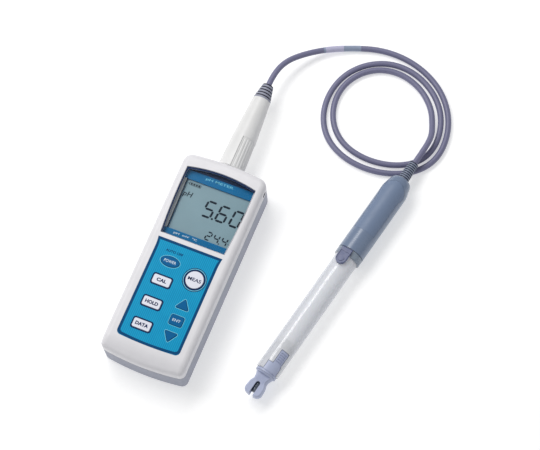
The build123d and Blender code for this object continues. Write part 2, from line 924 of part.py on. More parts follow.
# ---------------------------------------------------------------- filler plug
def filler_plug():
    """Rubber tongue hinged in the collar's notch, with a stopper under its round end."""
    half = flap_width / 2
    low = tube_radius + 0.3
    high = 13.1
    near = flap_hinge_y
    tongue = slab((-half, half), (filler_y, near), (low, high))
    tongue += post(half, 0, filler_y, low, high)
    knuckle = (high - low) / 2
    tongue += Pos(0, near, low + knuckle) * Rot(0, 90, 0) * Cylinder(knuckle, flap_width)
    tongue = tongue - tube_between(tube_radius + 0.3, 30, 80)
    stopper = post(2.8, 0, filler_y, 9.2, low + 0.5)
    button = post(2.6, 0, filler_y, high - 0.1, high + 0.5)
    border = slab((-half, half), (filler_y, near - 2.2), (high - 0.1, high + 0.4))
    border += post(half, 0, filler_y, high - 0.1, high + 0.4)
    border -= slab((0.8 - half, half - 0.8), (filler_y, near - 3.0), (high - 1, high + 1))
    border -= post(half - 0.8, 0, filler_y, high - 1, high + 1)
    return on_sensor_axis(Rot(0, filler_tilt, 0) * (tongue + stopper + button + border))


# ---------------------------------------------------------------- tip unit
def junction_holder():
    sleeve_radius = tube_bore - 0.3
    body = turned(
        [
            (stem_radius + 0.4, -60.6), (9.3, -60.6), (9.3, -58.9), (sleeve_radius, -58.9),
            (sleeve_radius, -35.2), (7.6, -35.2), (7.6, -33.6), (sleeve_radius, -33.6),
            (sleeve_radius, -31.4), (7.2, -31.4), (7.2, -52.0), (stem_radius + 0.4, -54.0),
        ]
    )
    outside = tube_radius - 0.25
    pad = turned([(8.0, -60.6), (outside, -60.6), (outside, -38.0), (8.0, -38.0)])
    pad &= tube_cutout(0.4)
    pad -= tube_between(12, -70, -58.8) - tube_between(9.3, -71, -58.0)
    body += pad
    for step in range(5):
        y = -48.6 + step * 2.0
        bottom = tube_radius - 0.9
        groove = turned([(bottom, y), (12, y), (12, y + 1.0), (bottom, y + 1.0)])
        body -= groove & slab((2.6, 7.2), (-60, -37), (3, 14))
    return on_sensor_axis(body)


def fork_guard():
    profile = [
        Line((0, -60.7), (8.9, -60.7)),
        Spline(
            [(8.9, -60.7), (7.2, -63.2), (fork_waist_radius, -67.2), (fork_radius, -76.2)],
            tangents=[(-0.8, -0.6), (0, -1)],
        ),
        ThreePointArc((fork_radius, -76.2), (7.1, -80.0), (4.6, fork_end)),
        Line((4.6, fork_end), (0, fork_end)),
        Line((0, fork_end), (0, -60.7)),
    ]
    fork = revolve(make_face(profile), Axis.Y)
    flats = slab((-20, 20), (-90, -62.0), (fork_half_thickness, 20))
    fork -= flats + mirror(flats, Plane.XY)
    for step in range(5):
        y = -64.8 - step * 1.15
        for side in (-1, 1):
            face = side * fork_half_thickness
            fork += slab((-3.5, 3.5), (y, y + 0.5), (face - 0.3, face + 0.3))
    fork -= tube_between(stem_radius + 0.4, -79.3, -60.0)
    fork -= slab((-fork_slot / 2, fork_slot / 2), (-90, fork_slot_top), (-20, 20))
    fork -= post(fork_slot / 2, 0, fork_slot_top, -20, 20)
    return on_sensor_axis(fork)


def tip_seal():
    outside = tube_bore - 0.05
    seal = turned([(7.62, -35.1), (outside, -35.1), (outside, -33.7), (7.62, -33.7)])
    return on_sensor_axis(seal)


def liquid_junction():
    inside = stem_radius + 0.4
    ring = turned([(inside, -51.4), (7.1, -51.4), (7.1, -47.4), (inside, -47.4)])
    return on_sensor_axis(ring)


# ---------------------------------------------------------------- export
def nodes():
    parts = {
        "front_case": front_case(),
        "rear_case": rear_case(),
        "case_seal": case_seal(),
        "case_screws": case_screws(),
        "battery_cover": battery_cover(),
        "window_lens": window_lens(),
        "window_seal": window_seal(),
        "lcd_bezel": lcd_bezel(),
        "lcd_panel": lcd_panel(),
        "lcd_tray": lcd_tray(),
        "lcd_connector_strips": lcd_connector_strips(),
        "keypad_overlay": keypad_overlay(),
        "key_domes": key_domes(),
        "main_board": main_board(),
        "board_screws": board_screws(),
        "processor_chip": processor_chip(),
        "amplifier_shield": amplifier_shield(),
        "buzzer": buzzer(),
        "board_capacitors": board_capacitors(),
        "batteries": batteries(),
        "battery_contacts": battery_contacts(),
        "socket_shell": socket_shell(),
        "socket_insert": socket_insert(),
        "socket_contacts": socket_contacts(),
        "socket_seal": socket_seal(),
        "plug_body": plug_body(),
        "plug_insert": plug_insert(),
        "plug_pins": plug_pins(),
        "plug_seal": plug_seal(),
        "plug_boot": plug_boot(),
        "sensor_cable": sensor_cable(),
        "cable_ends": cable_ends(),
        "probe_boot": probe_boot(),
        "probe_handle": probe_handle(),
        "handle_grip_pad": handle_grip_pad(),
        "cable_clamp": cable_clamp(),
        "terminal_board": terminal_board(),
        "bulkhead": bulkhead(),
        "reservoir_seal": reservoir_seal(),
        "collar": collar(),
        "reservoir_tube": reservoir_tube(),
        "inner_sleeve": inner_sleeve(),
        "reference_element": reference_element(),
        "glass_electrode": glass_electrode(),
        "silver_wire": silver_wire(),
        "thermistor": thermistor(),
        "filler_plug": filler_plug(),
        "junction_holder": junction_holder(),
        "fork_guard": fork_guard(),
        "tip_seal": tip_seal(),
        "liquid_junction": liquid_junction(),
    }
    for name, shape, x, y, width, height in key_table:
        parts[name + "_key"] = key(shape, x, y, width, height)
    return parts


os.makedirs("parts", exist_ok=True)
for node_name, node_part in nodes().items():
    export_step(single(node_part), f"parts/{node_name}.step")
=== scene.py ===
"""Looks of the handheld pH meter: materials, printing, display, lead, light and camera.

Metres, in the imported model's frame. Values in the tables below are millimetres.
"""
import json
import math

import bmesh
import bpy
from mathutils import Matrix, Vector


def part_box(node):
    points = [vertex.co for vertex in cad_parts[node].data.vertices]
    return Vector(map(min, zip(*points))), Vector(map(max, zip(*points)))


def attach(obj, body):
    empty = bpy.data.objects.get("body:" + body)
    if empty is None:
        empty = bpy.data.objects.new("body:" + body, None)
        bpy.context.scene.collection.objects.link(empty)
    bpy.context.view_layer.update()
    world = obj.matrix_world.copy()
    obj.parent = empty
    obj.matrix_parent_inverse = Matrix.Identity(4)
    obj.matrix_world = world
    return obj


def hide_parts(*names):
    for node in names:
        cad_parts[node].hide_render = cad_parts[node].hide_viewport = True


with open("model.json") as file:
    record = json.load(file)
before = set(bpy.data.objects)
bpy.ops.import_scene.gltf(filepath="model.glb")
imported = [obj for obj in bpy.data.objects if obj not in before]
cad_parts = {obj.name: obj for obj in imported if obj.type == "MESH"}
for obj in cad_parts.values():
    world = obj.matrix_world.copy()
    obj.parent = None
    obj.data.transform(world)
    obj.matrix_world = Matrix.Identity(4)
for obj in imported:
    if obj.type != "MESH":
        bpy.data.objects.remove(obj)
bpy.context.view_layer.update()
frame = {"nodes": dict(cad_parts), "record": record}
MM = 0.001

# ---------------------------------------------------------------- settings
# camera: place, directions to it and roll, and lens on a 36 mm sensor
CAMERA_AT = (286.2, -379.8, 1329.1)
CAMERA_AZIMUTH = 28.118
CAMERA_ELEVATION = 69.113
CAMERA_ROLL = -6.314
CAMERA_LENS = 110.9
CAMERA_SENSOR = 36.0

# lead: radius of the cable, and its route from the sensor to the plug
CORD_RADIUS = 2.6
SENSOR_EXIT = (143.137, 160.236, 11.8)
SENSOR_STRAIGHT = (145.800, 172.449, 11.8)
PLUG_STRAIGHT = (0.0, 193.1, 18.0)
PLUG_EXIT = (0.0, 180.6, 18.0)
CORD_ROUTE = [
    (148.2, 189.5, 9.6),
    (144.4, 203.0, 5.4),
    (137.5, 219.0, 2.9),
    (123.0, 233.0, 2.7),
    (103.0, 240.5, 2.7),
    (83.0, 238.5, 2.7),
    (66.5, 227.0, 2.7),
    (57.0, 209.0, 2.7),
    (57.0, 188.5, 2.7),
    (65.5, 170.0, 2.7),
    (81.0, 157.5, 2.7),
    (103.0, 152.5, 2.7),
    (126.0, 155.5, 2.7),
    (144.0, 165.5, 2.7),
    (152.5, 180.0, 2.7),
    (153.5, 199.0, 2.7),
    (146.5, 219.5, 2.7),
    (131.5, 236.0, 2.7),
    (111.0, 246.0, 2.7),
    (89.5, 247.0, 2.7),
    (69.5, 238.0, 2.7),
    (55.0, 221.5, 2.7),
    (49.0, 200.0, 2.7),
    (51.5, 178.0, 2.7),
    (62.5, 159.5, 2.7),
    (81.0, 148.0, 2.7),
    (104.0, 144.0, 2.7),
    (127.0, 147.5, 2.7),
    (146.5, 157.5, 2.7),
    (158.5, 173.5, 2.7),
    (160.8, 195.0, 2.7),
    (155.0, 217.0, 2.7),
    (141.5, 236.0, 2.7),
    (122.5, 249.0, 2.7),
    (100.0, 256.0, 2.7),
    (76.0, 256.0, 2.7),
    (52.5, 248.5, 3.0),
    (32.0, 238.0, 5.2),
    (16.5, 225.0, 9.6),
    (4.8, 210.0, 15.2),
]
# sleeves on the cable: the stretch of X each covers, and its inner and outer radius
LABEL_FILM = ((29.0, 61.0), 2.58, 2.7)
LABEL_PAPER = ((31.0, 46.0), 2.68, 2.78)

# strain reliefs: where each ends, its axis, length and number of rings
PLUG_BOOT = (PLUG_EXIT, (0.0, 1.0, 0.0), 14.8, 5)
PROBE_BOOT = (SENSOR_EXIT, (0.21303, 0.97705, 0.0), 18.0, 9)
# the ring's share of one ring and groove, and how softly the painted shade in the groove starts
RING_SHARE = 0.55
RING_SOFTNESS = 0.03

# printing: ink stands on its surface and reaches a little into it
INK_HEIGHT = 0.03
INK_ROOT = 0.01

# keys: the hidden flange round a cap, the gap round it in the film, and the rings and frames
KEY_FLANGE = 1.0
KEY_GAP = 0.38
FRAME_REACH = (1.4, 1.35)
FRAME_CORNER = 2.4
FRAME_HOLE_CORNER = 1.75
MEAS_CIRCLES = (9.2, 9.75, 10.4)
TRIANGLE_HALF = (5.8, 4.4)
TRIANGLE_RING = 0.45
POWER_REACH = 0.85
ENTER_REACH = 0.75
ENTER_CORNER = 2.1
ENTER_HOLE_CORNER = 1.78

# keypad outline
KEYPAD_FLARE = 0.9
KEYPAD_FLARE_POWER = 2.2
KEYPAD_ARCH = 1.2
KEYPAD_CORNER = 4.0
KEYPAD_STRAIGHT = 9.0
BORDER_INSET = 0.02
BORDER_WIDTH = 2.2

# strap tunnel: its middle and the turn of its axis from -Y towards +X
STRAP_AT = (32.2, 87.3, 28.8)
STRAP_TURN = math.radians(41.0)
# its dark sleeve, painted shade inside the tunnel: half width, half height and corner outside and
# inside, then where each end crosses the axis and how far the end slopes across it
STRAP_OUTER = (1.66, 1.96, 0.3)
STRAP_INNER = (1.3, 1.6, 0.2)
STRAP_ENDS = ((-6.6, 1.09), (7.9, -1.15))

# window outline
WINDOW_LOW = 16.4
WINDOW_HIGH = 79.0
WINDOW_HALF_LOW = 29.1
WINDOW_HALF_HIGH = 31.3
WINDOW_BOW = 0.8
WINDOW_ARCH = 3.8
# painted shadow round it, widest on the left and top where the recess walls cast shade: how far
# each side of its outer and inner line is drawn in
LENS_SHADE_OUTER = (0.42, 0.42, 0.42, 0.42)
LENS_SHADE_INNER = (1.5, 0.6, 1.9, 0.6)

# painted shadow of the case's edge under the window's arch: half width, arch height, and where
# its arch and chord lie
SHADE_HALF = 31.0
SHADE_ARCH = 3.7
SHADE_ARCH_LOW = 78.9
SHADE_CHORD = 78.3

# strips along the display's left edge: X and Y of the edge's two ends
EDGE_HIGH = (-31.4, 70.5)
EDGE_LOW = (-30.0, 23.9)

# display figures: figures with the X of each, then bottom, width, height and stroke
FIGURE_ROWS = (
    ((("5", -4.6), ("6", 7.7), ("0", 20.2)), 44.4, 7.7, 14.0, 1.85),
    ((("2", 6.2), ("4", 13.2), ("4", 20.4)), 25.7, 4.2, 7.0, 1.2),
)
DIGIT_SLANT = 0.1
# decimal points: X, Y, radius and steps
FIGURE_POINTS = ((5.3, 44.3, 0.95, 20), (19.0, 25.8, 0.6, 16))

# battery mark: its line's Y, the tip and bars as X, half width, half height and corner, and
# the case round the bars, outside and inside
MARK_Y = 67.4
MARK_TIP = (-25.3, 0.5, 0.45, 0.1)
MARK_BARS = [(-22.9 + 2.3 * step, 0.85, 0.75, 0.15) for step in range(4)]
MARK_CASE = ((-19.6, 5.2, 1.35, 0.3), (-19.6, 4.9, 1.05, 0.15))

# floor and light: the middle of what they serve, in metres, and the floor just under it
SCENE_MIDDLE = (0.06, 0.08, 0.0)
FLOOR_DROP = 0.0002
FLOOR_HALF = 3.0


def rgb(red, green, blue):
    """Linear colour from 0-255 display values."""
    values = []
    for value in (red, green, blue):
        share = value / 255
        values.append(share / 12.92 if share <= 0.04045 else ((share + 0.055) / 1.055) ** 2.4)
    return tuple(values)


# ---------------------------------------------------------------- materials
class Material:
    """A Principled material whose colour, roughness and bump come from nodes."""

    def __init__(self, name, color, roughness, **sockets):
        self.material = bpy.data.materials.new(name)
        self.material.use_nodes = True
        self.tree = self.material.node_tree
        self.shader = self.tree.nodes["Principled BSDF"]
        self.color = color
        self.roughness = roughness
        self.coordinates = self.tree.nodes.new("ShaderNodeTexCoord").outputs["Object"]
        self.shader.inputs["Base Color"].default_value = (*color, 1)
        self.shader.inputs["Roughness"].default_value = roughness
        for socket, value in sockets.items():
            self.shader.inputs[socket.replace("_", " ")].default_value = value
        self.height = None

    def node(self, kind, **inputs):
        made = self.tree.nodes.new(kind)
        for key, value in inputs.items():
            made.inputs[key.replace("_", " ")].default_value = value
        return made

    def link(self, output, socket):
        self.tree.links.new(output, socket)

    def stretched(self, scale):
        mapping = self.node("ShaderNodeMapping", Scale=scale)
        self.link(self.coordinates, mapping.inputs["Vector"])
        return mapping.outputs["Vector"]

    def noise(self, size, detail, stretch=None):
        """Noise whose cells are about size millimetres across."""
        texture = self.node("ShaderNodeTexNoise", Scale=1 / (size * MM), Detail=detail)
        vector = self.stretched(stretch) if stretch else self.coordinates
        self.link(vector, texture.inputs["Vector"])
        return texture.outputs["Fac"]

    def spread(self, value, low, high, start=0.3, end=0.7):
        """Maps a 0-1 pattern to low..high."""
        made = self.node("ShaderNodeMapRange")
        made.inputs["From Min"].default_value = start
        made.inputs["From Max"].default_value = end
        made.inputs["To Min"].default_value = low
        made.inputs["To Max"].default_value = high
        self.link(value, made.inputs["Value"])
        return made.outputs["Result"]

    def mix(self, factor, first, second):
        """Colour between two, each a colour or a node's output."""
        made = self.tree.nodes.new("ShaderNodeMix")
        made.data_type = "RGBA"
        # a Mix node keeps its colours in inputs 6 and 7 and its result in output 2
        for socket, value in ((made.inputs[6], first), (made.inputs[7], second)):
            if isinstance(value, tuple):
                socket.default_value = (*value, 1)
            else:
                self.link(value, socket)
        self.link(factor, made.inputs[0])
        return made.outputs[2]

    def mottle(self, size, amount, stretch=None):
        """Slight colour variation over patches of about size millimetres."""
        factor = self.spread(self.noise(size, 3.0, stretch), 0, 1)
        darker = tuple(value * (1 - amount) for value in self.color)
        lighter = tuple(min(1.0, value * (1 + amount)) for value in self.color)
        self.link(self.mix(factor, darker, lighter), self.shader.inputs["Base Color"])
        return self

    def uneven_gloss(self, size, amount, stretch=None):
        """Roughness that varies by an amount over patches of about size millimetres."""
        low = max(0.02, self.roughness - amount)
        varied = self.spread(self.noise(size, 4.0, stretch), low, self.roughness + amount)
        self.link(varied, self.shader.inputs["Roughness"])
        return self

    def grain(self, size, depth, stretch=None):
        """Raised texture: cells of size and a depth in millimetres."""
        return self.raised(self.noise(size, 2.0, stretch), depth)

    def raised(self, height, depth):
        """Adds a 0-1 pattern to the bumps, with a depth in millimetres."""
        bump = self.node("ShaderNodeBump", Strength=1.0, Distance=depth * MM)
        self.link(height, bump.inputs["Height"])
        if self.height is not None:
            self.link(self.height, bump.inputs["Normal"])
        self.height = bump.outputs["Normal"]
        self.link(self.height, self.shader.inputs["Normal"])
        return self

    def edged(self, rim_color, face_alpha, rim_alpha, blend=0.5):
        """Another colour and a denser look where the surface turns away from the eye."""
        turning = self.node("ShaderNodeLayerWeight", Blend=blend).outputs["Facing"]
        self.link(self.mix(turning, self.color, rim_color), self.shader.inputs["Base Color"])
        alpha = self.spread(turning, face_alpha, rim_alpha, 0.0, 1.0)
        self.link(alpha, self.shader.inputs["Alpha"])
        return self

    def rings(self, boot, groove_shade_color):
        """Painted shade: darker colour in the grooves between the rings of a strain relief, where
        shade falls.
        """
        end, axis, length, count = boot
        along = self.node("ShaderNodeVectorMath")
        along.operation = "DOT_PRODUCT"
        self.link(self.coordinates, along.inputs[0])
        along.inputs[1].default_value = axis
        first = sum(place * part for place, part in zip(end, axis)) - length
        share = self.node("ShaderNodeMapRange")
        share.clamp = False
        share.inputs["From Min"].default_value = first * MM
        share.inputs["From Max"].default_value = (first + length / count) * MM
        self.link(along.outputs["Value"], share.inputs["Value"])
        phase = self.node("ShaderNodeMath")
        phase.operation = "FRACT"
        self.link(share.outputs["Result"], phase.inputs[0])
        start, end = RING_SHARE - RING_SOFTNESS, RING_SHARE + RING_SOFTNESS
        groove = self.spread(phase.outputs["Value"], 0, 1, start, end)
        color = self.mix(groove, self.color, groove_shade_color)
        self.link(color, self.shader.inputs["Base Color"])
        return self

    def bands(self, pitch):
        """Fine lines along Y, as a 0-1 wave with that pitch in millimetres."""
        # at scale 1 a Wave texture has 20 radians of its wave in each unit
        wave = self.node("ShaderNodeTexWave", Scale=math.tau / 20 / (pitch * MM))
        wave.wave_type = "BANDS"
        wave.bands_direction = "X"
        self.link(self.coordinates, wave.inputs["Vector"])
        return wave.outputs["Fac"]


def moulded(name, color, roughness, grain_size=0.25, grain_depth=0.006, **sockets):
    """Moulded plastic: fine spark texture, faint flow marks, slightly uneven gloss."""
    made = Material(name, color, roughness, **sockets)
    made.mottle(14.0, 0.025).uneven_gloss(3.0, 0.05)
    return made.grain(grain_size, grain_depth)


def metal(name, color, roughness, stretch=(1, 1, 1)):
    """Drawn or brushed metal: lines along one axis."""
    made = Material(name, color, roughness, Metallic=1.0)
    made.mottle(2.0, 0.08, stretch=stretch).uneven_gloss(0.6, 0.1, stretch)
    return made.grain(0.3, 0.004, stretch=stretch)


def cyan_film():
    """Keypad film: fine lines along its length, paler where it is worn."""
    made = Material("cyan_film", rgb(5, 150, 198), 0.42, Specular_IOR_Level=0.1)
    lines = made.spread(made.bands(1.6), 0, 1, 0.25, 0.75)
    worn = made.spread(made.noise(9.0, 4.0), 0, 0.25)
    base = made.mix(lines, rgb(0, 134, 184), rgb(10, 162, 208))
    base = made.mix(worn, base, rgb(20, 170, 212))
    made.link(base, made.shader.inputs["Base Color"])
    made.raised(lines, 0.012)
    made.uneven_gloss(1.2, 0.06)
    return made.grain(0.18, 0.003)


def milky_sleeve():
    """Translucent white sleeve with a painted glow: a little emission lifts its shaded side, as
    if the clear tube passed light to it.
    """
    made = Material(
        "milky_sleeve",
        rgb(232, 233, 240),
        0.45,
        # painted glow: emission that lightens the sleeve's shaded side
        Emission_Color=(0.9, 0.9, 0.95, 1),
        Emission_Strength=0.3,
        Subsurface_Weight=0.3,
        Subsurface_Scale=0.003,
    )
    return made.mottle(6.0, 0.02).uneven_gloss(2.0, 0.05).grain(0.6, 0.01)


MATERIALS = {
    "white_case": moulded("white_case", rgb(227, 226, 230), 0.42),
    "grey_case": moulded("grey_case", rgb(156, 160, 176), 0.48),
    "dark_seal": Material("dark_seal", rgb(40, 40, 46), 0.7).mottle(3.0, 0.2).grain(0.3, 0.01),
    "screw_steel": metal("screw_steel", (0.55, 0.55, 0.57), 0.3),
    "clear_window": Material("clear_window", rgb(70, 84, 92), 0.15, Alpha=0.05)
    .mottle(20.0, 0.02)
    .uneven_gloss(6.0, 0.02),
    "blue_print": Material("blue_print", rgb(0, 112, 168), 0.45, Specular_IOR_Level=0.08)
    .mottle(25.0, 0.06)
    .grain(0.3, 0.003),
    "lcd_glass": Material("display_glass", rgb(132, 164, 176), 0.4, Specular_IOR_Level=0.3)
    .mottle(30.0, 0.05)
    .uneven_gloss(8.0, 0.05)
    .grain(0.25, 0.002),
    "white_insert": moulded("white_insert", rgb(222, 222, 218), 0.5),
    "cyan_film": cyan_film(),
    "white_key": moulded("white_key", rgb(228, 230, 242), 0.35, 0.35, 0.003),
    "navy_key": moulded(
        "navy_key", rgb(0, 96, 152), 0.42, 0.35, 0.003, Specular_IOR_Level=0.08
    ),
    "contact_metal": metal("contact_metal", (0.72, 0.72, 0.72), 0.22),
    "contact_gold": metal("contact_gold", (0.85, 0.62, 0.26), 0.22),
    "circuit_board": Material("circuit_board", rgb(20, 92, 48), 0.3)
    .mottle(2.0, 0.15)
    .grain(0.8, 0.01),
    "chip_black": moulded("chip_black", rgb(34, 34, 38), 0.5),
    "can_aluminium": metal("can_aluminium", (0.7, 0.7, 0.71), 0.3, (1, 1, 8)),
    "cell_wrap": Material("cell_wrap", rgb(60, 78, 120), 0.25, Coat_Weight=0.4)
    .mottle(12.0, 0.08)
    .grain(0.8, 0.004),
    "socket_metal": metal("socket_metal", (0.55, 0.55, 0.56), 0.32, (1, 6, 1)),
    "white_plug": moulded("white_plug", rgb(226, 226, 226), 0.4, 0.3, 0.004),
    # plug boot rings with painted shade in their grooves
    "boot_rubber": moulded("boot_rubber", rgb(150, 153, 170), 0.5, 0.3, 0.006).rings(
        PLUG_BOOT, rgb(62, 64, 84)
    ),
    "cable_jacket": moulded("cable_jacket", rgb(116, 116, 146), 0.42, 0.5, 0.008),
    "handle_grey": moulded(
        "handle_grey", rgb(116, 132, 158), 0.3, 3.0, 0.002, Coat_Weight=0.3, Coat_Roughness=0.22
    ),
    "grip_soft": moulded("grip_soft", rgb(116, 133, 161), 0.5, 0.2, 0.006),
    "collar_clear": Material("collar_clear", rgb(158, 172, 188), 0.15, Coat_Weight=0.4)
    .uneven_gloss(3.0, 0.04)
    .grain(0.8, 0.004)
    .edged(rgb(104, 118, 142), 0.72, 0.95),
    "clear_tube": Material("clear_tube", rgb(244, 246, 250), 0.12, Coat_Weight=0.5)
    .uneven_gloss(5.0, 0.05)
    .grain(2.0, 0.004)
    .edged(rgb(172, 178, 194), 0.62, 0.95, 0.2),
    "milky_sleeve": milky_sleeve(),
    "silver_wire": metal("silver_wire", (0.8, 0.8, 0.8), 0.25, (1, 8, 1)),
    "clear_glass": Material("clear_glass", rgb(84, 96, 116), 0.05)
    .uneven_gloss(2.0, 0.02)
    .grain(3.0, 0.002)
    .edged(rgb(40, 50, 70), 0.5, 0.95),
    "filler_rubber": moulded("filler_rubber", rgb(88, 96, 134), 0.4, 0.3, 0.006),
    "tip_lavender": moulded("tip_lavender", rgb(178, 186, 213), 0.38, 0.3, 0.006),
    "ceramic_frit": Material("ceramic_frit", rgb(230, 228, 220), 0.8)
    .mottle(0.8, 0.15)
    .grain(0.15, 0.02),
}


def printed(name, color):
    """Printing ink: matt, with little shine of its own."""
    return moulded(name, color, 0.5, 0.3, 0.002, Specular_IOR_Level=0.08).material


NAVY_INK = printed("navy_ink", rgb(0, 72, 120))
DARK_INK = printed("dark_ink", rgb(15, 36, 84))
PALE_INK = printed("pale_ink", rgb(120, 206, 234))
WHITE_INK = printed("white_ink", rgb(226, 240, 248))
SEGMENT_INK = printed("segment_ink", rgb(20, 34, 48))
# painted shadow: dark colour standing for the shade cast into the window's recess, made with the
# matt print finish
PAINTED_SHADOW = printed("recess_painted_shadow", rgb(26, 46, 84))
FRAME_INK = printed("frame_ink", rgb(206, 214, 220))
FILM = Material("label_film", rgb(142, 154, 178), 0.22, Coat_Weight=0.6)
FILM.mottle(4.0, 0.05).uneven_gloss(2.0, 0.05).grain(1.0, 0.003)
PAPER = moulded("label_paper", rgb(184, 183, 210), 0.4, 0.3, 0.003)
# probe boot rings with painted shade in their grooves
PROBE_RINGS_GROOVE_SHADE = moulded("probe_boot_rings_groove_shade", rgb(128, 138, 160), 0.45, 0.5, 0.002)
PROBE_RINGS_GROOVE_SHADE.rings(PROBE_BOOT, rgb(60, 66, 84))

for part in frame["record"]["subparts"]:
    node = frame["nodes"][part["node"]]
    node.data.materials.clear()
    node.data.materials.append(MATERIALS[part["material_slot"]].material)
frame["nodes"]["probe_boot"].data.materials[0] = PROBE_RINGS_GROOVE_SHADE.material


# ---------------------------------------------------------------- mesh helpers
def add_object(name, data, body, material):
    """New piece that rides on a body and takes the material given."""
    made = bpy.data.objects.new(name, data)
    bpy.context.scene.collection.objects.link(made)
    data.materials.clear()
    data.materials.append(material)
    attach(made, body)
    return made


def mesh_from(bm, name):
    """Mesh of that name with its faces turned outwards; bm is used up."""
    bmesh.ops.recalc_face_normals(bm, faces=bm.faces)
    mesh = bpy.data.meshes.new(name)
    bm.to_mesh(mesh)
    bm.free()
    return mesh


def add_prism(bm, loop, low, high):
    """Closed prism over an outline given in millimetres."""
    under = [bm.verts.new((x * MM, y * MM, low * MM)) for x, y in loop]
    over = [bm.verts.new((x * MM, y * MM, high * MM)) for x, y in loop]
    bm.faces.new(under)
    bm.faces.new(over)
    for step in range(len(loop)):
        after = (step + 1) % len(loop)
        bm.faces.new((under[step], under[after], over[after], over[step]))


def add_ring(bm, outer, inner, low, high):
    """Closed band between two outlines with the same number of points."""
    rows = []
    for loop, z in ((outer, low), (outer, high), (inner, high), (inner, low)):
        rows.append([bm.verts.new((x * MM, y * MM, z * MM)) for x, y in loop])
    for row, below in zip(rows, rows[1:] + rows[:1]):
        for step in range(len(outer)):
            after = (step + 1) % len(outer)
            bm.faces.new((row[step], row[after], below[after], below[step]))


def ellipse(x, y, half_x, half_y, steps=96):
    return [
        (x + half_x * math.cos(math.tau * s / steps), y + half_y * math.sin(math.tau * s / steps))
        for s in range(steps)
    ]


def rounded(corners, radius, steps=8):
    """Outline with each corner of a convex polygon rounded."""
    points = []
    for index in range(len(corners)):
        corner = Vector(corners[index])
        to_last = (Vector(corners[index - 1]) - corner).normalized()
        to_next = (Vector(corners[(index + 1) % len(corners)]) - corner).normalized()
        half = to_last.angle(to_next) / 2
        centre = corner + (to_last + to_next).normalized() * radius / math.sin(half)
        start = corner + to_last * radius / math.tan(half) - centre
        end = corner + to_next * radius / math.tan(half) - centre
        turn = start.angle_signed(end)
        for step in range(steps + 1):
            arm = start.copy()
            arm.rotate(Matrix.Rotation(-turn * step / steps, 2))
            points.append(tuple(centre + arm))
    return points


def rounded_box(x, y, half_x, half_y, radius):
    corners = [(x - half_x, y - half_y), (x + half_x, y - half_y)]
    corners += [(x + half_x, y + half_y), (x - half_x, y + half_y)]
    return rounded(corners, radius)


def grown(loop, amount):
    """Outline moved outwards by an amount, for a loop that runs anticlockwise."""
    points = []
    for index in range(len(loop)):
        before = Vector(loop[index - 1])
        here = Vector(loop[index])
        after = Vector(loop[(index + 1) % len(loop)])
        edge_in = (here - before).normalized()
        edge_out = (after - here).normalized()
        normal = Vector((edge_in.y + edge_out.y, -edge_in.x - edge_out.x)).normalized()
        points.append(tuple(here + normal * amount))
    return points


def ink(name, shapes, low, body, slot, material, rings=()):
    """Printed layer: thin closed plates and bands standing on a surface."""
    bm = bmesh.new()
    for loop in shapes:
        add_prism(bm, loop, low - INK_ROOT, low + INK_HEIGHT)
    for outer, inner in rings:
        add_ring(bm, outer, inner, low - INK_ROOT, low + INK_HEIGHT)
    return add_object(name, mesh_from(bm, name), body, material)


def lettering(
    name, words, centre, height, width, low, body, slot, material, slant=0.0, weight=0.015
):
    """Extruded characters fitted to a height and width, in millimetres.

    weight thickens the strokes and slant leans them, both before the fitting.
    """
    curve = bpy.data.curves.new(name, "FONT")
    curve.body = words
    curve.extrude = 0.5  # any thickness, because the fitting below sets it
    curve.offset = weight
    curve.shear = slant
    curve.resolution_u = 6
    holder = bpy.data.objects.new(name + "_shape", curve)
    bpy.context.scene.collection.objects.link(holder)
    bpy.context.view_layer.update()
    graph = bpy.context.evaluated_depsgraph_get()
    mesh = bpy.data.meshes.new_from_object(holder.evaluated_get(graph))
    bpy.data.objects.remove(holder)
    bpy.data.curves.remove(curve)
    places = [vertex.co for vertex in mesh.vertices]
    lows = [min(place[axis] for place in places) for axis in range(3)]
    highs = [max(place[axis] for place in places) for axis in range(3)]
    targets = (width * MM, height * MM, (INK_HEIGHT + INK_ROOT) * MM)
    middle = (centre[0] * MM, centre[1] * MM, (low + (INK_HEIGHT - INK_ROOT) / 2) * MM)
    for vertex in mesh.vertices:
        for axis in range(3):
            share = (vertex.co[axis] - lows[axis]) / (highs[axis] - lows[axis]) - 0.5
            vertex.co[axis] = middle[axis] + share * targets[axis]
    return add_object(name, mesh, body, material)


# ---------------------------------------------------------------- lead
def centre_line(cable):
    """Points along the cable's own curve, from the sensor to the plug."""
    line = cable.data.copy()
    line.bevel_depth = 0.0
    holder = bpy.data.objects.new("centre_line", line)
    bpy.context.scene.collection.objects.link(holder)
    bpy.context.view_layer.update()
    graph = bpy.context.evaluated_depsgraph_get()
    mesh = bpy.data.meshes.new_from_object(holder.evaluated_get(graph))
    points = [vertex.co.copy() for vertex in mesh.vertices]
    bpy.data.objects.remove(holder)
    bpy.data.curves.remove(line)
    bpy.data.meshes.remove(mesh)
    return points


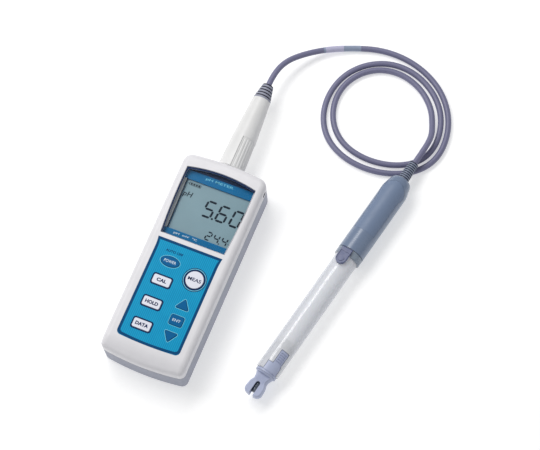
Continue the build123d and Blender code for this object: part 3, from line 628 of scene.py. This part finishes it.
def cable_wrap(name, line, reach, inside, outside, material, steps=28):
    """Thin closed sleeve round the cable's last quarter, between two values of X."""
    last_run = line[-(len(line) // 4) :]
    chosen = [
        index
        for index in range(1, len(last_run) - 1)
        if reach[0] < last_run[index].x / MM < reach[1]
    ]
    bm = bmesh.new()
    rows = []
    for index in chosen:
        along = (last_run[index + 1] - last_run[index - 1]).normalized()
        across = along.cross(Vector((0, 0, 1))).normalized()
        upward = across.cross(along)
        pair = []
        for radius in (inside, outside):
            ring = []
            for step in range(steps):
                angle = math.tau * step / steps
                arm = across * math.cos(angle) + upward * math.sin(angle)
                ring.append(bm.verts.new(last_run[index] + arm * radius * MM))
            pair.append(ring)
        rows.append(pair)
    for row, after in zip(rows, rows[1:]):
        for skin in range(2):
            for step in range(steps):
                ahead = (step + 1) % steps
                bm.faces.new(
                    (row[skin][step], row[skin][ahead], after[skin][ahead], after[skin][step])
                )
    for inner, outer in (rows[0], rows[-1]):
        for step in range(steps):
            ahead = (step + 1) % steps
            bm.faces.new((inner[step], inner[ahead], outer[ahead], outer[step]))
    return add_object(name, mesh_from(bm, name), "lead", material)


def sensor_lead():
    """Cable from the sensor's strain relief to the plug's, with its label."""
    curve = bpy.data.curves.new("lead_cable", "CURVE")
    curve.dimensions = "3D"
    curve.bevel_depth = CORD_RADIUS * MM
    curve.bevel_resolution = 8
    curve.resolution_u = 12
    curve.use_fill_caps = True
    route = [SENSOR_EXIT, SENSOR_STRAIGHT, *CORD_ROUTE, PLUG_STRAIGHT, PLUG_EXIT]
    spline = curve.splines.new("NURBS")
    spline.points.add(len(route) - 1)
    for point, place in zip(spline.points, route):
        point.co = (place[0] * MM, place[1] * MM, place[2] * MM, 1)
    spline.order_u = 3
    spline.use_endpoint_u = True
    cable = add_object(
        "lead_cable", curve, "lead", MATERIALS["cable_jacket"].material
    )
    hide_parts("sensor_cable")
    line = centre_line(cable)
    cable_wrap("label_film", line, *LABEL_FILM, FILM.material)
    cable_wrap("label_paper", line, *LABEL_PAPER, PAPER.material)


sensor_lead()


# ---------------------------------------------------------------- keypad printing
def key_box(name):
    """Centre and half sizes of a key's cap, in millimetres, and its top."""
    low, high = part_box(name + "_key")
    centre = (low + high) / 2 / MM
    half = (high - low) / 2 / MM
    return centre.x, centre.y, half.x - KEY_FLANGE, half.y - KEY_FLANGE, high.z / MM


def keypad_loop(shrink, steps=14):
    """Keypad outline: flared top corners, straight sides, bowed bottom with round corners."""
    low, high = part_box("keypad_overlay")
    flare = (high.x - low.x) / 2 / MM - shrink
    half = flare - KEYPAD_FLARE
    top = high.y / MM - shrink
    bottom = low.y / MM + KEYPAD_ARCH + shrink
    radius = KEYPAD_CORNER - shrink / 2
    right = []
    for step in range(steps + 1):
        share = step / steps
        x = half + KEYPAD_FLARE * (1 - share) ** KEYPAD_FLARE_POWER
        right.append((x, top - KEYPAD_STRAIGHT * share))
    for step in range(steps + 1):
        angle = math.pi / 2 * step / steps
        x = half - radius + radius * math.cos(angle)
        right.append((x, bottom + radius - radius * math.sin(angle)))
    for step in range(1, steps):
        x = (half - radius) * (1 - step / steps)
        right.append((x, bottom - KEYPAD_ARCH * (1 - (x / (half - radius)) ** 2)))
    left = [(-x, y) for x, y in reversed(right)]
    return right + [(0.0, bottom - KEYPAD_ARCH)] + left


def key_triangle(name, pointing, radius=0.7):
    """Outline of an arrow key's cap, whose flat side stands a flange inside the key's box."""
    low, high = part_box(name + "_key")
    flat = (low.y if pointing > 0 else high.y) / MM
    x = (low.x + high.x) / 2 / MM
    y = flat + pointing * (KEY_FLANGE + TRIANGLE_HALF[1])
    half_x, half_y = TRIANGLE_HALF
    corners = [
        (x - half_x, y - half_y * pointing),
        (x + half_x, y - half_y * pointing),
        (x, y + half_y * pointing),
    ]
    if pointing < 0:
        corners.reverse()
    return rounded(corners, radius)


def keypad_printing():
    """Border, frames and rings round the keys, and the note over the power key."""
    film_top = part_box("keypad_overlay")[1].z / MM
    border = (keypad_loop(BORDER_INSET), keypad_loop(BORDER_WIDTH))
    ink("keypad_border", [], film_top, "meter", "navy_key", NAVY_INK, rings=[border])
    dark_rings = []
    for name in ("cal", "hold", "data"):
        x, y, half_x, half_y, _ = key_box(name)
        reach_x, reach_y = FRAME_REACH
        outer = rounded_box(x, y, half_x + reach_x, half_y + reach_y, FRAME_CORNER)
        inner = rounded_box(x, y, half_x + KEY_GAP, half_y + KEY_GAP, FRAME_HOLE_CORNER)
        dark_rings.append((outer, inner))
    x, y, half_x, _, _ = key_box("meas")
    circles = [ellipse(x, y, reach, reach) for reach in (half_x + KEY_GAP, *MEAS_CIRCLES)]
    dark_rings += [(circles[1], circles[0]), (circles[3], circles[2])]
    ink("key_frames_dark", [], film_top, "meter", "navy_key", DARK_INK, rings=dark_rings)
    pale_rings = [(circles[2], circles[1])]
    for name, pointing in (("up", 1), ("down", -1)):
        triangle = key_triangle(name, pointing)
        pale_rings.append((grown(triangle, KEY_GAP + TRIANGLE_RING), grown(triangle, KEY_GAP)))
    x, y, half_x, half_y, _ = key_box("power")
    outer = ellipse(x, y, half_x + POWER_REACH, half_y + POWER_REACH)
    pale_rings.append((outer, ellipse(x, y, half_x + KEY_GAP, half_y + KEY_GAP)))
    x, y, half_x, half_y, _ = key_box("enter")
    outer = rounded_box(x, y, half_x + ENTER_REACH, half_y + ENTER_REACH, ENTER_CORNER)
    inner = rounded_box(x, y, half_x + KEY_GAP, half_y + KEY_GAP, ENTER_HOLE_CORNER)
    pale_rings.append((outer, inner))
    ink("key_frames_pale", [], film_top, "meter", "cyan_film", PALE_INK, rings=pale_rings)
    place = ((-10.6, 3.6), 2.2, 15.4, film_top)
    lettering("power_note", "AUTO OFF", *place, "meter", "navy_key", NAVY_INK, weight=0.04)


def key_legends():
    """Word on each key, with its height, width and stroke weight."""
    for name, words, height, width, material, weight in (
        ("power", "POWER", 2.5, 10.6, WHITE_INK, 0.005),
        ("cal", "CAL", 3.1, 8.6, DARK_INK, 0.045),
        ("hold", "HOLD", 3.1, 11.4, DARK_INK, 0.045),
        ("data", "DATA", 3.1, 11.4, DARK_INK, 0.045),
        ("meas", "MEAS", 3.1, 11.6, DARK_INK, 0.02),
        ("enter", "ENT", 2.2, 7.0, WHITE_INK, 0.005),
    ):
        x, y, _, _, top = key_box(name)
        place = ((x, y), height, width, top)
        finish = ("navy_key" if material is WHITE_INK else "white_key", material)
        lettering(name + "_legend", words, *place, name + "_button", *finish, weight=weight)


keypad_printing()
key_legends()


# ---------------------------------------------------------------- display
SEGMENTS = {
    "top": ((0, 1), (1, 1)),
    "middle": ((0, 0.5), (1, 0.5)),
    "bottom": ((0, 0), (1, 0)),
    "upper_left": ((0, 1), (0, 0.5)),
    "upper_right": ((1, 1), (1, 0.5)),
    "lower_left": ((0, 0.5), (0, 0)),
    "lower_right": ((1, 0.5), (1, 0)),
}
DIGITS = {
    "0": ("top", "bottom", "upper_left", "upper_right", "lower_left", "lower_right"),
    "2": ("top", "middle", "bottom", "upper_right", "lower_left"),
    "4": ("middle", "upper_left", "upper_right", "lower_right"),
    "5": ("top", "middle", "bottom", "upper_left", "lower_right"),
    "6": ("top", "middle", "bottom", "upper_left", "lower_left", "lower_right"),
}


def segment_loop(start, end, stroke):
    """Six-sided segment with pointed ends, a little short of its two corners."""
    along = (end - start).normalized()
    across = Vector((-along.y, along.x)) * stroke / 2
    gap = along * stroke * 0.18
    point = along * stroke / 2
    first = start + gap
    last = end - gap
    corners = [first, first + point - across, last - point - across]
    corners += [last, last - point + across, first + point + across]
    return [tuple(corner) for corner in corners]


def digit_loops(figure, left, bottom, width, height, stroke):
    """Outlines of a slanted figure's segments."""
    loops = []
    for name in DIGITS[figure]:
        ends = []
        for across, up in SEGMENTS[name]:
            y = bottom + height * up
            ends.append(Vector((left + width * across + DIGIT_SLANT * (y - bottom), y)))
        loops.append(segment_loop(ends[0], ends[1], stroke))
    return loops


def display_figures():
    """Reading, temperature, units and battery mark on the display's glass."""
    glass_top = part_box("lcd_panel")[1].z / MM
    finish = ("meter", "lcd_glass", SEGMENT_INK)
    loops = []
    for (figures, *sizes), (x, y, radius, steps) in zip(FIGURE_ROWS, FIGURE_POINTS):
        for figure, left in figures:
            loops += digit_loops(figure, left, *sizes)
        loops.append(ellipse(x, y, radius, radius, steps))
    ink("display_figures", loops, glass_top, *finish)
    lettering("display_unit", "pH", (-22.4, 57.2), 6.2, 8.4, glass_top, *finish, slant=0.12)
    lettering("display_degrees", "°C", (28.0, 27.4), 2.4, 3.4, glass_top, *finish)
    plates = [rounded_box(x, MARK_Y, *sizes) for x, *sizes in (MARK_TIP, *MARK_BARS)]
    case = tuple(rounded_box(x, MARK_Y, *sizes) for x, *sizes in MARK_CASE)
    ink("display_battery", plates, glass_top, *finish, rings=[case])


def lens_loop(left, right, top, bottom, steps=16):
    """Window outline drawn in by a distance on each side, anticlockwise from low right."""
    low = WINDOW_LOW + bottom
    high = WINDOW_HIGH - top
    sides = []
    for side, inset in ((-1, left), (1, right)):
        column = []
        for step in range(steps + 1):
            share = step / steps
            reach = WINDOW_HALF_LOW + (WINDOW_HALF_HIGH - WINDOW_HALF_LOW) * share
            reach += WINDOW_BOW * 4 * share * (1 - share) - inset
            column.append((side * reach, low + (high - low) * share))
        sides.append(column)
    start, end = sides[1][-1][0], sides[0][-1][0]
    arch = []
    for step in range(1, steps):
        x = start + (end - start) * step / steps
        arch.append((x, high + WINDOW_ARCH * (1 - (x / start) ** 2)))
    return sides[1] + arch + sides[0][::-1]


def window_printing(steps=24):
    """Generic words on the blue bands, painted shadow under the arch, edges of the display, and
    painted shadow round the lens.
    """
    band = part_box("lcd_bezel")[1].z / MM
    finish = ("meter", "blue_print")
    title = ((-0.5, 75.4), 2.7, 25.0, band)
    lettering("window_title", "pH METER", *title, *finish, PALE_INK)
    ranges = ((-9.0, 21.3), 2.2, 21.0, band)
    lettering("window_ranges", "pH  mV  °C", *ranges, *finish, WHITE_INK)
    # painted shadow: a dark arch on the blue band where the case's edge casts shade into the
    # recess
    arch = []
    for step in range(steps + 1):
        x = -SHADE_HALF + 2 * SHADE_HALF * step / steps
        arch.append((x, SHADE_ARCH_LOW + SHADE_ARCH * (1 - (x / SHADE_HALF) ** 2)))
    chord = [(-SHADE_HALF, SHADE_CHORD), (SHADE_HALF, SHADE_CHORD)]
    ink("window_arch_painted_shadow", [arch[::-1] + chord], band, *finish, PAINTED_SHADOW)
    (high_x, high_y), (low_x, low_y) = EDGE_HIGH, EDGE_LOW
    for name, near, far, material in (
        ("display_edge_pale", 0.0, 3.0, FRAME_INK),
        ("display_edge_dark", 3.0, 4.0, SEGMENT_INK),
    ):
        strip = [(near + high_x, high_y), (near + low_x, low_y)]
        strip += [(far + low_x, low_y), (far + high_x, high_y)]
        ink(name, [strip], band, *finish, material)
    # painted shadow: a dark band on the lens, widest on its left and top edges, standing for the
    # shade of the recess walls
    lens_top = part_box("window_lens")[1].z / MM
    edge = (lens_loop(*LENS_SHADE_OUTER), lens_loop(*LENS_SHADE_INNER))
    ink("lens_edge_painted_shadow", [], lens_top, "meter", "clear_window", PAINTED_SHADOW, rings=[edge])


display_figures()
window_printing()


# ---------------------------------------------------------------- strap hole
def strap_painted_shade():
    """Dark sleeve inside the strap's tunnel through the top right corner: painted shade that
    darkens the hole.
    """
    bm = bmesh.new()
    outer = rounded_box(0.0, 0.0, *STRAP_OUTER)
    inner = rounded_box(0.0, 0.0, *STRAP_INNER)
    (low, low_slope), (high, high_slope) = STRAP_ENDS
    add_ring(bm, outer, inner, low, high)
    for vertex in bm.verts:
        vertex.co.z += vertex.co.x * (high_slope if vertex.co.z > 0 else low_slope)
    upward = Vector((0.0, 0.0, 1.0))
    away = Vector((math.sin(STRAP_TURN), -math.cos(STRAP_TURN), 0.0))
    turn = Matrix((upward.cross(away), upward, away)).transposed().to_4x4()
    bm.transform(Matrix.Translation(Vector(STRAP_AT) * MM) @ turn)
    # painted shade: the dark print finish stands for the shade inside the tunnel
    add_object("strap_painted_shade", mesh_from(bm, "strap_painted_shade"), "meter", DARK_INK)


strap_painted_shade()


# ---------------------------------------------------------------- floor, light, camera
def camera_axes():
    """The camera's directions right, up and back towards it."""
    azimuth, elevation, roll = (
        math.radians(angle) for angle in (CAMERA_AZIMUTH, CAMERA_ELEVATION, CAMERA_ROLL)
    )
    back = Vector(
        (
            math.sin(azimuth) * math.cos(elevation),
            -math.cos(azimuth) * math.cos(elevation),
            math.sin(elevation),
        )
    )
    level = (-back).cross(Vector((0, 0, 1))).normalized()
    upright = back.cross(level)
    right = level * math.cos(roll) + upright * math.sin(roll)
    up = upright * math.cos(roll) - level * math.sin(roll)
    return right, up, back


def add_camera():
    right, up, back = camera_axes()
    data = bpy.data.cameras.new("camera")
    data.lens = CAMERA_LENS
    data.sensor_width = CAMERA_SENSOR
    data.clip_start = 0.05
    data.clip_end = 20.0
    camera = bpy.data.objects.new("camera", data)
    bpy.context.scene.collection.objects.link(camera)
    turn = Matrix((right, up, back)).transposed().to_4x4()
    camera.matrix_world = Matrix.Translation(Vector(CAMERA_AT) * MM) @ turn
    bpy.context.scene.camera = camera


def add_floor():
    """Pale paper with a little light of its own, so that shadows stay soft."""
    bm = bmesh.new()
    bmesh.ops.create_grid(bm, x_segments=8, y_segments=8, size=FLOOR_HALF)
    floor = bpy.data.objects.new("floor", mesh_from(bm, "floor"))
    bpy.context.scene.collection.objects.link(floor)
    floor.location = Vector(SCENE_MIDDLE) - Vector((0.0, 0.0, FLOOR_DROP))
    surface = Material(
        "floor_paper",
        (0.72, 0.72, 0.72),
        0.75,
        Emission_Color=(1, 1, 1, 1),
        Emission_Strength=0.46,
    )
    surface.mottle(300.0, 0.01).grain(2.0, 0.01)
    floor.data.materials.append(surface.material)


def add_light(name, at, size, power, color, along=(0.0, 1.0)):
    """Soft light placed from the scene's middle, in metres to the camera's right, up and back.

    size is its width and length. along says which way the length runs, as right and up.
    """
    data = bpy.data.lights.new(name, "AREA")
    data.shape = "RECTANGLE"
    data.size, data.size_y = size
    data.energy = power
    data.color = color
    lamp = bpy.data.objects.new(name, data)
    bpy.context.scene.collection.objects.link(lamp)
    target = Vector(SCENE_MIDDLE)
    axes = camera_axes()
    place = target + sum((axis * part for axis, part in zip(axes, at)), Vector())
    away = (place - target).normalized()
    side = (axes[0] * along[0] + axes[1] * along[1]).cross(away).normalized()
    turn = Matrix((side, away.cross(side), away)).transposed().to_4x4()
    lamp.matrix_world = Matrix.Translation(place) @ turn


def add_world():
    world = bpy.data.worlds.new("studio")
    world.use_nodes = True
    background = world.node_tree.nodes["Background"]
    background.inputs["Color"].default_value = (0.97, 0.98, 1.0, 1)
    background.inputs["Strength"].default_value = 0.4
    bpy.context.scene.world = world


add_camera()
add_floor()
add_light("key_light", (-0.5, 0.85, 0.8), (0.5, 1.3), 11.4, (1.0, 0.99, 0.97), (0.565, 0.825))
add_light("fill_light", (0.9, -0.2, 1.1), (1.2, 1.2), 0.6, (0.96, 0.98, 1.0))
add_world()
bpy.context.scene.view_settings.view_transform = "Standard"
